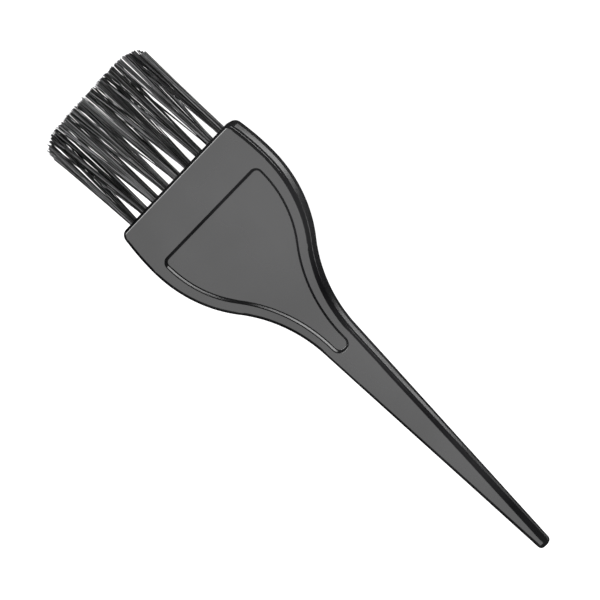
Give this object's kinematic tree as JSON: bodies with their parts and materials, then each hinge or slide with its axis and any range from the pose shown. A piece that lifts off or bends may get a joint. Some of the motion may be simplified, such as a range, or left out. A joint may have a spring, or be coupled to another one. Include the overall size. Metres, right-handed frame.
{
  "type": "hair tint brush",
  "caption": "Flat hair colouring brush: tapered tail handle widening into a paddle head, with a straight row of stiff nylon tufts that flex from the root edge.",
  "frame": {"origin": "under the middle of the brush's length and width, on the plane of its flat back face", "axes": "+Y along the handle towards the bristle tips, +X across the paddle, +Z out of the front face"},
  "size_m": [0.0582, 0.21, 0.009],
  "materials": {
    "handle_plastic": "moulded black plastic with a soft gloss",
    "bristle_nylon": "drawn black nylon filament, satin gloss",
    "staple_steel": "flat galvanised wire"
  },
  "bodies": {
    "handle": {"handle": "handle_plastic", "staple_1": "staple_steel", "staple_2": "staple_steel", "staple_3": "staple_steel", "staple_4": "staple_steel", "staple_5": "staple_steel", "staple_6": "staple_steel", "staple_7": "staple_steel", "staple_8": "staple_steel", "staple_9": "staple_steel", "tuft_fold_1": "bristle_nylon", "tuft_fold_2": "bristle_nylon", "tuft_fold_3": "bristle_nylon", "tuft_fold_4": "bristle_nylon", "tuft_fold_5": "bristle_nylon", "tuft_fold_6": "bristle_nylon", "tuft_fold_7": "bristle_nylon", "tuft_fold_8": "bristle_nylon", "tuft_fold_9": "bristle_nylon"},
    "bristles": {"bristle_tuft_1": "bristle_nylon", "bristle_tuft_2": "bristle_nylon", "bristle_tuft_3": "bristle_nylon", "bristle_tuft_4": "bristle_nylon", "bristle_tuft_5": "bristle_nylon", "bristle_tuft_6": "bristle_nylon", "bristle_tuft_7": "bristle_nylon", "bristle_tuft_8": "bristle_nylon", "bristle_tuft_9": "bristle_nylon"}
  },
  "joints": [
    {"name": "bristle_flex", "type": "hinge", "parent": "handle", "child": "bristles", "pos_m": [0, 0.07117, 0.0045], "axis": [1, 0, 0], "range_deg": [-30, 30], "stiffness_Nm_per_rad": 0.059}
  ]
}
